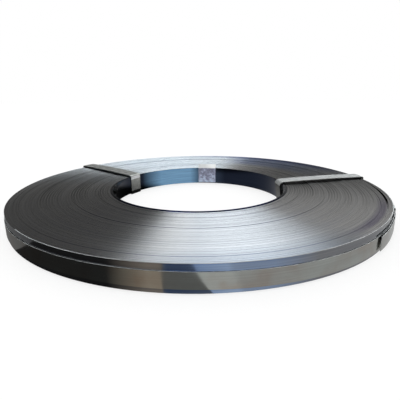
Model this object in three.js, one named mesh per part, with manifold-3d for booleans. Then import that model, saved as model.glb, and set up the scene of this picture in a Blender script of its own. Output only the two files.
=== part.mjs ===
// A ribbon-wound coil of narrow steel strip, lying flat with its bore upright.
// One strap girds it, two ties cross it from bore to rim, and a paper tag hangs in the bore.
// Millimetres and degrees, +Z up. The origin is on the floor, on the coil's axis.
import * as THREE from 'three';
import { mergeVertices } from 'three/addons/utils/BufferGeometryUtils.js';
import Module from 'manifold-3d';

const wasm = await Module();
wasm.setup();

// Between two pieces that touch.
const FIT = 0.3;

// The winding: one strip, turn on turn, from the bore to the rim.
const COIL_D = 600;
const BORE_D = 290;
const STRIP_WIDTH = 32;
const TURN_PITCH = 1;
const SEGMENTS = 96;

// The turns have slipped along the axis in groups, so both ends are stepped alike. From the bore
// out: how many turns lie together, and how far they have slipped up. The last run to the rim.
const GROUPS = [
  { turns: 22, slip: 0.35 },
  { turns: 21, slip: 0.05 },
  { turns: 18, slip: 0.5 },
  { turns: 46, slip: 0.2 },
  { turns: 32, slip: 0.6 },
  { turns: 15, slip: 0.3 },
];
const GROOVE_WIDTH = 0.9;
const GROOVE_DEPTH = 0.9;
const INNER_TURN_PROUD = 1.2;

// Two gaps where the outer turns have slackened, each a crescent right through the coil.
const SLACK_GAPS = [
  { turnsOutside: 6, width: 1.9, from: -29, to: 14 },
  { turnsOutside: 12, width: 0.9, from: -23, to: 10 },
];
const SLACK_STEPS = 16;

// The ties: flat strap, looped through the bore and sealed on the rim. A slack one stands off
// the bore wall where it comes over the bore's edge.
const TIE_WIDTH = 25;
const TIE_THICK = 0.8;
const TIE_RISE = 2;
const TIE_CROWN = 1;
const TIE_FOLD = 0.6;
const TIE_END = 3;
const TIES = [
  { side: 'left', boreAzimuth: 148, rimAzimuth: 143.4, slack: 0 },
  { side: 'right', boreAzimuth: 6, rimAzimuth: 9.5, slack: 4 },
];

// The girth strap: round the rim once, its ends lapped under a seal, its tail springing free.
const GIRTH_WIDTH = 19;
const GIRTH_THICK = 0.8;
const GIRTH_LOW = 4.4;
const GIRTH_WANDER = 1.2;
const GIRTH_WAVES = 3;
const GIRTH_DIP = -48;
const GIRTH_TAIL = -45;
const GIRTH_END = 346;
const GIRTH_SPRING = 1.5;
const GIRTH_SEAL = -20;
const GIRTH_RAMP = 12;

// The seals: a steel clip folded round the two layers of strap, and crimped with them twice.
const SEAL_WALL = 0.8;
const SEAL_LIP = 7;
const TIE_SEAL_LENGTH = 24;
const GIRTH_SEAL_LENGTH = 30;
const CRIMP_SPACING = 11;
const CRIMP_LENGTH = 6;
const CRIMP_DEPTH = 1.5;

// The tag: paper stuck on the bore wall, its top edge bent back over the rim of the bore.
const TAG_WIDTH = 36;
const TAG_THICK = 0.4;
const TAG_LOW = 3;
const TAG_FLAP = 8;
const TAG_LEAN = 22;
const TAG_AZIMUTH = 83;

const COIL_R = COIL_D / 2;
const BORE_R = BORE_D / 2;
const COIL_BOTTOM = TIE_THICK + FIT;
const COIL_TOP = COIL_BOTTOM + STRIP_WIDTH;
const COIL_MIDDLE = COIL_BOTTOM + STRIP_WIDTH / 2;
const STEP = 180 / SEGMENTS;
const BORE_FLAT_R = BORE_R * Math.cos(Math.PI / SEGMENTS);
const SEAL_STANDOFF = FIT + SEAL_WALL + FIT;

const radians = THREE.MathUtils.degToRad;
const outward = (azimuth) => new THREE.Vector3(
  Math.cos(radians(azimuth)), Math.sin(radians(azimuth)), 0);
const along = (azimuth) => outward(azimuth + 90);
const UP = new THREE.Vector3(0, 0, 1);
const ROUTE_STEPS = 6;
const SAME_POINT = 1e-4;

// A profile carried through frames: each frame has a place, an axis for the profile's x and y,
// and how far the profile's two sides are pinched in.
// The profile runs anticlockwise, the frames follow the way x cross y points, and the profile
// itself closes both ends.
function sweep(profile, frames) {
  const count = profile.length;
  const positions = [];
  for (const { place, xAxis, yAxis, pinch } of frames) {
    for (const { x, y } of profile) {
      const across = x - Math.sign(x) * pinch;
      const p = place.clone().addScaledVector(xAxis, across).addScaledVector(yAxis, y);
      positions.push(p.x, p.y, p.z);
    }
  }
  const index = [];
  for (let f = 0; f + 1 < frames.length; f++) {
    for (let i = 0; i < count; i++) {
      const a = f * count + i;
      const b = f * count + (i + 1) % count;
      index.push(a, b, b + count, a, b + count, a + count);
    }
  }
  const last = (frames.length - 1) * count;
  for (const [a, b, c] of THREE.ShapeUtils.triangulateShape(profile, [])) {
    index.push(a, c, b, last + a, last + b, last + c);
  }
  const geometry = new THREE.BufferGeometry();
  geometry.setAttribute('position', new THREE.Float32BufferAttribute(positions, 3));
  geometry.setIndex(index);
  return geometry;
}

// A closed geometry as a solid to cut. Its normals and texture places go first, so that shared
// corners merge.
function solidOf(geometry) {
  geometry.deleteAttribute('normal');
  geometry.deleteAttribute('uv');
  const merged = mergeVertices(geometry, SAME_POINT);
  return new wasm.Manifold(new wasm.Mesh({
    numProp: 3,
    vertProperties: merged.getAttribute('position').array,
    triVerts: new Uint32Array(merged.index.array),
  }));
}

function geometryOf(solid) {
  const mesh = solid.getMesh();
  const geometry = new THREE.BufferGeometry();
  geometry.setAttribute('position', new THREE.BufferAttribute(mesh.vertProperties, 3));
  geometry.setIndex(new THREE.BufferAttribute(mesh.triVerts, 1));
  return geometry;
}

// Rings of turns from the bore out, each with how far it has slipped up.
function turnGroups() {
  let inner = BORE_R + TURN_PITCH;
  const rings = [{ inner: BORE_R, outer: inner, slip: INNER_TURN_PROUD }];
  for (const { turns, slip } of GROUPS) {
    const outer = Math.min(inner + turns * TURN_PITCH, COIL_R);
    if (outer - inner > 2 * GROOVE_WIDTH) rings.push({ inner, outer, slip });
    inner = outer;
  }
  rings.at(-1).outer = COIL_R;
  return rings;
}

// One end of the winding, from bore to rim: flat lands, with a groove between neighbours.
// sign is 1 on the top end and -1 on the bottom end, where a slipped group stands back.
function endProfile(level, sign) {
  const groups = turnGroups();
  const points = [];
  groups.forEach(({ inner, outer, slip }, g) => {
    const grooveInside = g > 1;
    const grooveOutside = g > 0 && g < groups.length - 1;
    const from = grooveInside ? inner + GROOVE_WIDTH / 2 : inner;
    const to = grooveOutside ? outer - GROOVE_WIDTH / 2 : outer;
    points.push(new THREE.Vector2(from, level + slip), new THREE.Vector2(to, level + slip));
    if (grooveOutside) {
      const next = groups[g + 1].slip;
      const lip = sign > 0 ? Math.min(slip, next) : Math.max(slip, next);
      points.push(new THREE.Vector2(outer, level + lip - sign * GROOVE_DEPTH));
    }
  });
  return points;
}

// The crescent between the rim's slack turns and the rest, as a prism to cut away.
function slackGap({ turnsOutside, width, from, to }) {
  const radius = COIL_R - turnsOutside * TURN_PITCH;
  const point = (r, azimuth) => new THREE.Vector2(
    r * Math.cos(radians(azimuth)), r * Math.sin(radians(azimuth)));
  const outline = [];
  for (let i = 0; i <= SLACK_STEPS; i++) {
    outline.push(point(radius, from + (to - from) * i / SLACK_STEPS));
  }
  for (let i = SLACK_STEPS - 1; i > 0; i--) {
    const share = i / SLACK_STEPS;
    const open = width * Math.sin(Math.PI * share);
    outline.push(point(radius - open, from + (to - from) * share));
  }
  const prism = new THREE.ExtrudeGeometry(new THREE.Shape(outline), {
    depth: 3 * STRIP_WIDTH, bevelEnabled: false, steps: 1,
  });
  prism.translate(0, 0, COIL_BOTTOM - STRIP_WIDTH);
  return solidOf(prism);
}

function windingGeometry() {
  const top = endProfile(COIL_TOP, 1);
  const bottom = endProfile(COIL_BOTTOM, -1);
  const section = [...bottom, ...top.reverse()];
  section.push(section[0].clone());
  const turned = new THREE.LatheGeometry(section, SEGMENTS);
  turned.rotateX(Math.PI / 2);
  let winding = solidOf(turned);
  for (const gap of SLACK_GAPS) {
    winding = winding.subtract(slackGap(gap));
  }
  return geometryOf(winding);
}

// The strap's section, standing on its inner face: x across the strap, y through it.
function strapProfile(width, thick) {
  return [
    new THREE.Vector2(-width / 2, 0),
    new THREE.Vector2(width / 2, 0),
    new THREE.Vector2(width / 2, thick),
    new THREE.Vector2(-width / 2, thick),
  ];
}

// The seal's section round two layers of strap, on the same axes as the strap's.
function sealProfile(width, thick) {
  const inside = width / 2 + FIT;
  const outside = inside + SEAL_WALL;
  const lipEnd = outside - SEAL_LIP;
  const floor = -FIT;
  const roof = thick + FIT + thick + FIT;
  return [
    [-lipEnd, floor - SEAL_WALL], [-lipEnd, floor], [-inside, floor], [-inside, roof],
    [inside, roof], [inside, floor], [lipEnd, floor], [lipEnd, floor - SEAL_WALL],
    [outside, floor - SEAL_WALL], [outside, roof + SEAL_WALL],
    [-outside, roof + SEAL_WALL], [-outside, floor - SEAL_WALL],
  ].map(([x, y]) => new THREE.Vector2(x, y));
}

// Where a crimp starts, is deepest and ends, as distances from the middle of a seal.
function crimpStations() {
  return [-1, 1].flatMap((side) => [-1, 0, 1].map(
    (end) => side * CRIMP_SPACING / 2 + end * CRIMP_LENGTH / 2));
}

// How far a seal and its strap are pinched in, at a distance from the middle of the seal.
function crimp(distance) {
  const fromDeepest = Math.abs(Math.abs(distance) - CRIMP_SPACING / 2);
  return CRIMP_DEPTH * Math.max(0, 1 - fromDeepest / (CRIMP_LENGTH / 2));
}

// A tie's route in its own plane: x from the bore wall to the rim, y up from the floor.
// It is the line of the strap's inner face, from the inner end up the rim, over, down the bore
// and back under to the outer end.
function tieRoute({ slack }) {
  const span = COIL_R - BORE_R;
  const rim = span + FIT + GIRTH_THICK + SEAL_STANDOFF;
  const lap = rim + TIE_THICK + FIT;
  const halfWidth = TIE_WIDTH / 2;
  const bore = Math.sqrt((BORE_FLAT_R - FIT) ** 2 - halfWidth ** 2) - BORE_R;
  const top = COIL_TOP + INNER_TURN_PROUD + TIE_RISE;
  const fold = TIE_RISE;
  const boreFold = TIE_RISE + slack;
  const route = new THREE.Path();
  route.moveTo(rim, COIL_BOTTOM + TIE_END);
  crimpStations().forEach((at) => route.lineTo(rim, COIL_MIDDLE + at));
  route.lineTo(rim, top - fold);
  route.absarc(rim - fold, top - fold, fold, 0, Math.PI / 2, false);
  const crown = new THREE.Vector2((rim + bore) / 2, top + 2 * TIE_CROWN);
  route.quadraticCurveTo(crown.x, crown.y, bore - slack + boreFold, top);
  route.absarc(bore - slack + boreFold, top - boreFold, boreFold, Math.PI / 2, Math.PI, false);
  route.lineTo(bore, TIE_THICK + TIE_FOLD);
  route.absarc(bore + TIE_FOLD, TIE_THICK + TIE_FOLD, TIE_FOLD, Math.PI, 1.5 * Math.PI, false);
  route.lineTo(lap - TIE_FOLD, TIE_THICK);
  route.absarc(lap - TIE_FOLD, TIE_THICK + TIE_FOLD, TIE_FOLD, 1.5 * Math.PI, 2 * Math.PI, false);
  crimpStations().forEach((at) => route.lineTo(lap, COIL_MIDDLE + at));
  route.lineTo(lap, COIL_TOP - TIE_END);
  const points = route.getPoints(ROUTE_STEPS);
  return points.filter((p, i) => i === 0 || p.distanceTo(points[i - 1]) > SAME_POINT);
}

// Frames along a tie. Its ends lie square to the bore wall and the rim, and between them it
// turns evenly from one to the other.
function tieFrames({ boreAzimuth, rimAzimuth, slack }) {
  const span = COIL_R - BORE_R;
  const borePlace = outward(boreAzimuth).multiplyScalar(BORE_R);
  const rimPlace = outward(rimAzimuth).multiplyScalar(COIL_R);
  const route = tieRoute({ slack });
  return route.map((point, i) => {
    const share = THREE.MathUtils.clamp(point.x / span, 0, 1);
    const past = point.x - share * span;
    const azimuth = THREE.MathUtils.lerp(boreAzimuth, rimAzimuth, share);
    const place = borePlace.clone().lerp(rimPlace, share);
    place.addScaledVector(outward(azimuth), past);
    place.z = point.y;
    const normal = mitre(route, i);
    const yAxis = outward(azimuth).multiplyScalar(normal.x).addScaledVector(UP, normal.y);
    const pinch = point.x > span ? crimp(point.y - COIL_MIDDLE) : 0;
    return { place, xAxis: along(azimuth).negate(), yAxis, pinch };
  });
}

// The outward normal of a route at a point, longer at a corner so that a strap keeps its thickness.
function mitre(route, i) {
  const before = route[Math.max(i - 1, 0)];
  const here = route[i];
  const after = route[Math.min(i + 1, route.length - 1)];
  const into = here.clone().sub(before);
  const out = after.clone().sub(here);
  if (i === 0) into.copy(out);
  if (i === route.length - 1) out.copy(into);
  const first = new THREE.Vector2(into.y, -into.x).normalize();
  const second = new THREE.Vector2(out.y, -out.x).normalize();
  const middle = first.clone().add(second).normalize();
  return middle.divideScalar(middle.dot(first));
}

function tieGeometry(tie) {
  return sweep(strapProfile(TIE_WIDTH, TIE_THICK), tieFrames(tie));
}

function tieSealGeometry({ rimAzimuth }) {
  const radius = COIL_R + FIT + GIRTH_THICK + SEAL_STANDOFF;
  const xAxis = along(rimAzimuth).negate();
  const yAxis = outward(rimAzimuth);
  const stations = [-TIE_SEAL_LENGTH / 2, ...crimpStations(), TIE_SEAL_LENGTH / 2];
  const frames = stations.map((at) => {
    const place = outward(rimAzimuth).multiplyScalar(radius);
    place.z = COIL_MIDDLE + at;
    return { place, xAxis, yAxis, pinch: crimp(at) };
  });
  return sweep(sealProfile(TIE_WIDTH, TIE_THICK), frames);
}

// How far the girth strap's lower edge is above the coil's bottom.
function girthHeight(azimuth) {
  return GIRTH_LOW - GIRTH_WANDER * Math.cos(GIRTH_WAVES * radians(azimuth - GIRTH_DIP));
}

// The turn from the seal's middle to an azimuth, between -180 and 180.
function turnFromSeal(azimuth) {
  return THREE.MathUtils.euclideanModulo(azimuth - GIRTH_SEAL + 180, 360) - 180;
}

// 1 near the seal and 0 away from it, where the strap lifts to let the seal's lips under.
function nearSeal(azimuth) {
  const half = sealArc() / 2;
  const turn = Math.abs(turnFromSeal(azimuth));
  return 1 - THREE.MathUtils.smoothstep(turn, half + STEP, half + GIRTH_RAMP);
}

function sealArc() {
  return THREE.MathUtils.radToDeg(GIRTH_SEAL_LENGTH / COIL_R);
}

// The radius of the girth strap's inner face.
function girthRadius(azimuth) {
  const lapEnd = GIRTH_END - 360;
  const lapped = 1 - THREE.MathUtils.smoothstep(azimuth, lapEnd + STEP, lapEnd + GIRTH_RAMP);
  const tail = GIRTH_SEAL - sealArc() / 2;
  const spring = THREE.MathUtils.clamp((tail - azimuth) / (tail - GIRTH_TAIL), 0, 1);
  return COIL_R + FIT + nearSeal(azimuth) * (SEAL_WALL + FIT)
    + lapped * (GIRTH_THICK + FIT) + GIRTH_SPRING * spring;
}

function girthFrame(azimuth) {
  const place = outward(azimuth).multiplyScalar(girthRadius(azimuth));
  place.z = COIL_BOTTOM + girthHeight(azimuth) + GIRTH_WIDTH / 2;
  const pinch = crimp(radians(turnFromSeal(azimuth)) * COIL_R);
  return { place, xAxis: UP, yAxis: outward(azimuth), pinch };
}

// The azimuths of an arc's frames: its two ends, and a common grid between them, so that
// pieces that lie on each other have their corners at the same places.
function azimuths(from, to) {
  const steps = [from];
  for (let a = (Math.floor(from / STEP) + 1) * STEP; a < to; a += STEP) steps.push(a);
  steps.push(to);
  return steps;
}

// The same for the girth strap and its seal, with the crimps of both laps.
function girthAzimuths(from, to) {
  const crimps = [0, 360].flatMap((lap) => crimpStations().map(
    (at) => GIRTH_SEAL + lap + THREE.MathUtils.radToDeg(at / COIL_R)));
  const inside = crimps.filter((azimuth) => azimuth > from && azimuth < to);
  const steps = [...azimuths(from, to), ...inside].sort((a, b) => a - b);
  return steps.filter((azimuth, i) => i === 0 || azimuth - steps[i - 1] > SAME_POINT);
}

function girthGeometry() {
  const frames = girthAzimuths(GIRTH_TAIL, GIRTH_END).map(girthFrame);
  return sweep(strapProfile(GIRTH_WIDTH, GIRTH_THICK), frames);
}

function girthSealGeometry() {
  const half = sealArc() / 2;
  const frames = girthAzimuths(GIRTH_SEAL - half, GIRTH_SEAL + half).map((azimuth) => {
    const place = outward(azimuth).multiplyScalar(COIL_R + SEAL_STANDOFF);
    place.z = COIL_BOTTOM + girthHeight(azimuth) + GIRTH_WIDTH / 2;
    const pinch = crimp(radians(turnFromSeal(azimuth)) * COIL_R);
    return { place, xAxis: UP, yAxis: outward(azimuth), pinch };
  });
  return sweep(sealProfile(GIRTH_WIDTH, GIRTH_THICK), frames);
}

// The tag's section: x is the radius, y the height. The flap leans out over the bore's rim.
function tagProfile() {
  const wall = BORE_FLAT_R - FIT;
  const bend = COIL_TOP + INNER_TURN_PROUD + FIT;
  const leaf = new THREE.Vector2(Math.sin(radians(TAG_LEAN)), Math.cos(radians(TAG_LEAN)));
  const tip = leaf.clone().multiplyScalar(TAG_FLAP);
  const step = TAG_THICK * Math.tan(radians(TAG_LEAN / 2));
  return [
    new THREE.Vector2(wall, COIL_BOTTOM + TAG_LOW),
    new THREE.Vector2(wall, bend),
    new THREE.Vector2(wall + tip.x, bend + tip.y),
    new THREE.Vector2(wall + tip.x - TAG_THICK * leaf.y, bend + tip.y + TAG_THICK * leaf.x),
    new THREE.Vector2(wall - TAG_THICK, bend + step),
    new THREE.Vector2(wall - TAG_THICK, COIL_BOTTOM + TAG_LOW),
  ];
}

function tagGeometry() {
  const half = THREE.MathUtils.radToDeg(TAG_WIDTH / BORE_D);
  const frames = azimuths(TAG_AZIMUTH - half, TAG_AZIMUTH + half).map((azimuth) => ({
    place: new THREE.Vector3(), xAxis: outward(azimuth), yAxis: UP, pinch: 0,
  }));
  return sweep(tagProfile(), frames.reverse());
}

function piece(name, geometry, color, roughness, metalness) {
  const material = new THREE.MeshStandardMaterial({ color, roughness, metalness });
  const mesh = new THREE.Mesh(geometry, material);
  mesh.name = name;
  return mesh;
}

const coil = new THREE.Group();
coil.add(piece('strip_coil', windingGeometry(), 0x6f747a, 0.28, 1));
coil.add(piece('girth_strap', girthGeometry(), 0x8b8a85, 0.3, 1));
coil.add(piece('girth_seal', girthSealGeometry(), 0x9a9a96, 0.4, 1));
for (const tie of TIES) {
  coil.add(piece(`tie_strap_${tie.side}`, tieGeometry(tie), 0xa6a8a4, 0.38, 1));
  coil.add(piece(`tie_seal_${tie.side}`, tieSealGeometry(tie), 0x9a9a96, 0.4, 1));
}
coil.add(piece('bore_tag', tagGeometry(), 0xc9c4cc, 0.8, 0));

export default coil;
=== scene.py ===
# A ribbon-wound coil of narrow blued steel strip, lying flat on a pale floor.
# One strap girds its rim, two ties cross it from bore to rim, and a paper tag lies in its bore.
# Metres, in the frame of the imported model: +Z up, the floor at zero, the bore's axis upright.
import math
import random
from bisect import bisect
from functools import partial

import bmesh
import bpy
from mathutils import Matrix, Vector


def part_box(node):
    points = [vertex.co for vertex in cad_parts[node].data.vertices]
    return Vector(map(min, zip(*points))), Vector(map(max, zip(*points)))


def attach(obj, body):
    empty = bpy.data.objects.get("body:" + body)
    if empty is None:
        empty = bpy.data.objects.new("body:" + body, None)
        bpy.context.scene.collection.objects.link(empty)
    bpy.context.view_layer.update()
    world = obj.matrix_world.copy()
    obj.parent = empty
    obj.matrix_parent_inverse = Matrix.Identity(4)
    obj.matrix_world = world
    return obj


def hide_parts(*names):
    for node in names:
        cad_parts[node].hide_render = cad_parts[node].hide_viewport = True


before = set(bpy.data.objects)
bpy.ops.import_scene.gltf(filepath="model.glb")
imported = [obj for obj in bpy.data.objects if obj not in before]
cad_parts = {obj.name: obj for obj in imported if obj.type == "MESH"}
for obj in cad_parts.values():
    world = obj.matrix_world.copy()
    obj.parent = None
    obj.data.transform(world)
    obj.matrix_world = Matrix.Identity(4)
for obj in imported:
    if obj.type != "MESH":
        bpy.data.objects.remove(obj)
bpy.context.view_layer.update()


# ---- The winding -------------------------------------------------------------------------
# Cold-rolled spring strip, blued in the furnace and wound turn on turn. Its faces are as
# smooth as the rolls left them. Its slit edges make both ends, brushed round and round.
MM = 0.001
coil_low, coil_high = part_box("strip_coil")
RIM_R = coil_high.x
BORE_R = 145 * MM
TURN_PITCH = 1 * MM

# Next to the bore, two turns stand proud of the rest, and four are blued on their edges too.
PROUD_TURNS = 2
INNER_TURN_PROUD = 1.2 * MM
BLUED_TURNS = 4
COIL_BOTTOM = coil_low.z
COIL_TOP = coil_high.z - INNER_TURN_PROUD

# Groups of turns that slipped together, from the bore out: how many, their height in mm, and
# how wide the seam after them is, in mm. Within a group the turns differ by a little.
TURN_GROUPS = [(7, 0.35, 0.6), (14, 0.15, 0.8), (21, 0.05, 0.7), (18, 0.5, 0.45), (46, 0.2, 0.25),
               (32, 0.6, 0.3), (15, 0.3, 0)]
TURN_JITTER = 0.12 * MM

# The seams between turns, as width and depth. Some turns lie a little open, and the seam after
# a group is the deepest.
CLOSED_SEAM = (0.14 * MM, 0.3 * MM)
OPEN_SEAM = (0.35 * MM, 0.8 * MM)
OPEN_SHARE = 0.05
STEP_DEPTH = 1.2 * MM

# The slack gaps: turns outside each, its width in mm, and its first and last azimuth. The turns
# inside a gap draw in with it, less and less over this distance.
SLACK_GAPS = [(24, 0.6, -32, 12), (14, 1, -34, 14), (6, 3.6, -38, 7)]
SLACK_SPREAD = 24 * MM

# The lower end lies on the floor, and shows every fourth seam. The gaps cut the winding into
# rings, which stand this far apart. A ring is spun through one sector, and the sector round.
BOTTOM_STRIDE = 4
PARTING = 0.02 * MM
SEGMENTS = 144
SECTORS = 12

# A face whose normal rises by less than this is upright. Flats stay flat past this angle.
UPRIGHT = 0.5
CREASE = 15


def turns_of_the_coil():
    """Each turn's height above the plain end, and the seam that follows it."""
    chance = random.Random(4)
    turns = [(INNER_TURN_PROUD, CLOSED_SEAM)] * PROUD_TURNS
    for count, height, step in TURN_GROUPS:
        for turn in range(count):
            jitter = TURN_JITTER * chance.uniform(-1, 1)
            seam = OPEN_SEAM if chance.random() < OPEN_SHARE else CLOSED_SEAM
            if turn == count - 1:
                seam = (step * MM, STEP_DEPTH)
            turns.append((height * MM + jitter, seam))
    return turns


def end_outline(turns, inner, level, sign, pitch):
    """The radii and heights of one end's outline: a flat for each turn, a seam between two."""
    outline = []
    for number, (height, (width, depth)) in enumerate(turns):
        start = inner + number * pitch
        outline.append((start + (CLOSED_SEAM[0] / 2 if number else 0), level + height))
        if number < len(turns) - 1:
            outline.append((start + pitch - width / 2, level + height))
            outline.append((start + pitch, level + height - sign * depth))
        else:
            outline.append((start + pitch - PARTING, level + height))
    return outline


def spin_ring(bm, turns, inner):
    """Spins one closed ring of turns round the coil's axis."""
    top = end_outline(turns, inner, COIL_TOP, 1, TURN_PITCH)
    width = len(turns) * TURN_PITCH
    coarse = turns[::BOTTOM_STRIDE]
    bottom = end_outline(coarse, inner, COIL_BOTTOM, -1, width / len(coarse))
    outline = top + bottom[::-1]
    corners = [bm.verts.new((radius, 0, height)) for radius, height in outline]
    edges = [bm.edges.new(pair) for pair in zip(corners, corners[1:] + corners[:1])]
    about = {"cent": (0, 0, 0), "axis": (0, 0, 1)}
    sector = math.tau / SECTORS
    bmesh.ops.spin(bm, geom=corners + edges, angle=sector, steps=SEGMENTS // SECTORS, **about)
    bmesh.ops.spin(bm, geom=bm.verts[:] + bm.edges[:] + bm.faces[:], angle=math.tau - sector,
                   steps=SECTORS - 1, use_duplicate=True, **about)
    bmesh.ops.remove_doubles(bm, verts=bm.verts, dist=PARTING / 10)


def slack(radius, azimuth):
    """How far a point of the winding has drawn in where the outer turns are slack."""
    drawn_in = 0
    for turns_outside, width, first, last in SLACK_GAPS:
        share = (azimuth - first) / (last - first)
        reach = RIM_R - turns_outside * TURN_PITCH - radius
        if 0 < share < 1 and reach > PARTING / 2:
            fade = max(0, 1 - reach / SLACK_SPREAD)
            drawn_in += width * MM * math.sin(math.pi * share) * fade
    return drawn_in


def finished_piece(bm, name, materials):
    """Turns a bmesh into a piece that rides on the one body, smooth but for its creases."""
    mesh = bpy.data.meshes.new(name)
    bm.to_mesh(mesh)
    bm.free()
    mesh.shade_smooth()
    mesh.set_sharp_from_angle(angle=math.radians(CREASE))
    for material in materials:
        mesh.materials.append(material)
    piece = bpy.data.objects.new(name, mesh)
    bpy.context.scene.collection.objects.link(piece)
    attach(piece, "root")
    return piece


def linear(hex_colour):
    """An sRGB hex colour as linear red, green, blue and alpha."""
    parts = [int(hex_colour[i:i + 2], 16) / 255 for i in (1, 3, 5)]
    return tuple(c / 12.92 if c <= 0.04045 else ((c + 0.055) / 1.055) ** 2.4 for c in parts) + (1,)


def add_node(tree, kind, inputs=None, stops=(), **settings):
    """Adds a node with its settings, a colour ramp's stops among them. Each input is set to a
    value, or linked from a socket."""
    node = tree.nodes.new("ShaderNode" + kind)
    for name, value in settings.items():
        setattr(node, name, value)
    for number, (position, colour) in enumerate(stops):
        elements = node.color_ramp.elements
        stop = elements[number] if number < len(elements) else elements.new(position)
        stop.position = position
        stop.color = colour
    for name, value in (inputs or {}).items():
        if isinstance(value, bpy.types.NodeSocket):
            tree.links.new(value, node.inputs[name])
        else:
            node.inputs[name].default_value = value
    return node


def new_material(name):
    """A material with an empty tree and its output node."""
    material = bpy.data.materials.new(name)
    material.use_nodes = True
    material.node_tree.nodes.clear()
    output = add_node(material.node_tree, "OutputMaterial")
    return material, material.node_tree, output


def ring_coordinates(tree, around, through, upward):
    """A place on the coil as a noise vector, stretched round the axis. The three scales are
    in waves round the coil, and in waves for each metre of radius and of height."""
    place = add_node(tree, "TexCoord").outputs["Object"]
    flat = add_node(tree, "VectorMath", {0: place, 1: (1, 1, 0)}, operation="MULTIPLY")
    unit = add_node(tree, "VectorMath", {0: flat.outputs[0]}, operation="NORMALIZE")
    radius = add_node(tree, "VectorMath", {0: flat.outputs[0]}, operation="LENGTH")
    height = add_node(tree, "SeparateXYZ", {0: place})
    turned = add_node(tree, "VectorMath", {0: unit.outputs[0], 1: (around / math.tau,) * 3},
                      operation="MULTIPLY")
    depth = add_node(tree, "Math", {0: radius.outputs["Value"], 1: through}, operation="MULTIPLY")
    rise = add_node(tree, "Math", {0: height.outputs["Z"], 1: upward}, operation="MULTIPLY")
    both = add_node(tree, "Math", {0: depth.outputs[0], 1: rise.outputs[0]}, operation="ADD")
    lift = add_node(tree, "CombineXYZ", {2: both.outputs[0]})
    return add_node(tree, "VectorMath", {0: turned.outputs[0], 1: lift.outputs[0]}).outputs[0]


def azimuth_of(tree):
    """A place's azimuth round the axis, in degrees."""
    place = add_node(tree, "SeparateXYZ", {0: add_node(tree, "TexCoord").outputs["Object"]})
    turn = add_node(tree, "Math", {0: place.outputs["Y"], 1: place.outputs["X"]},
                    operation="ARCTAN2")
    return add_node(tree, "Math", {0: turn.outputs[0]}, operation="DEGREES").outputs[0]


def radius_of(tree):
    """A place's distance from the axis."""
    place = add_node(tree, "TexCoord").outputs["Object"]
    flat = add_node(tree, "VectorMath", {0: place, 1: (1, 1, 0)}, operation="MULTIPLY")
    return add_node(tree, "VectorMath", {0: flat.outputs[0]}, operation="LENGTH"
                    ).outputs["Value"]


def between(tree, value, edges):
    """1 inside a range, fading to 0 from its second value down to the first, and from its
    third up to the last."""
    start, full, fading, end = edges
    rise = add_node(tree, "MapRange", {"Value": value, 1: start, 2: full})
    fall = add_node(tree, "MapRange", {"Value": value, 1: end, 2: fading})
    return add_node(tree, "Math", {0: rise.outputs[0], 1: fall.outputs[0]},
                    operation="MINIMUM").outputs[0]


def filmed(tree, plain, films, **settings):
    """A colour with films laid over it one by one, each with its share and its own colour."""
    for share, film in films:
        plain = add_node(tree, "Mix", {"Factor": share, "A": plain, "B": film},
                         data_type="RGBA", **settings).outputs[2]
    return plain


# Tints on the turns' edges, partly films of oil and oxide and partly painted reflection: pale blue
# where the fans of light fall, darker tints nearer the rim. Azimuths in degrees, radii in mm, and
# the colour by which each stains the steel.
EDGE_TINTS = [((60, 76, 165, 178), (100, 120, 310, 320), "#f1f7fc"),
              ((-99, -90, -62, -50), (100, 120, 310, 320), "#e7eaee"),
              ((-104, -92, -60, -46), (262, 292, 310, 320), "#e2e6eb"),
              ((10, 40, 62, 76), (200, 226, 310, 320), "#b8c4e2"),
              ((14, 30, 66, 104), (266, 286, 310, 320), "#a0a6c0"),
              ((-56, -44, -26, -14), (277, 284, 290, 293), "#c4bfd4")]

# Fine dark rings of painted shade, where the seams show dark on both sides of the coil: how far
# apart, how dark, and the azimuths, either way from the right, between which they fade away.
RING_PITCH = 4 * MM
RING_SHADE = "#888888"
NO_RINGS = (4, 34, 146, 176)

# Across the turns: the streaks of the deburring brush, drawn as coarse as they need to be to
# show, how deep its scratches look, and the bands of tone.
BRUSH_STREAK = 1.6 * MM
BRUSH_DEPTH = 0.2 * MM
TONE_BAND = 9 * MM


def seam_ring_shade(tree, azimuth, radius, band):
    """How much painted shade the seams get at a place: in rings, darker in some bands of turns
    than in others, on both sides of the coil."""
    turn = add_node(tree, "Math", {0: radius, 1: math.tau / RING_PITCH}, operation="MULTIPLY")
    wave = add_node(tree, "Math", {0: turn.outputs[0]}, operation="SINE")
    patch = add_node(tree, "MapRange", {"Value": band, 1: 0.35, 2: 0.6})
    ring = add_node(tree, "MapRange", {"Value": wave.outputs[0], 1: -1, 2: 1,
                                       4: patch.outputs[0]})
    aside = add_node(tree, "Math", {0: azimuth}, operation="ABSOLUTE").outputs[0]
    shaded_sides = add_node(tree, "Math", {0: 1, 1: between(tree, aside, NO_RINGS)},
                     operation="SUBTRACT")
    return add_node(tree, "Math", {0: ring.outputs[0], 1: shaded_sides.outputs[0]},
                    operation="MULTIPLY").outputs[0]


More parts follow.
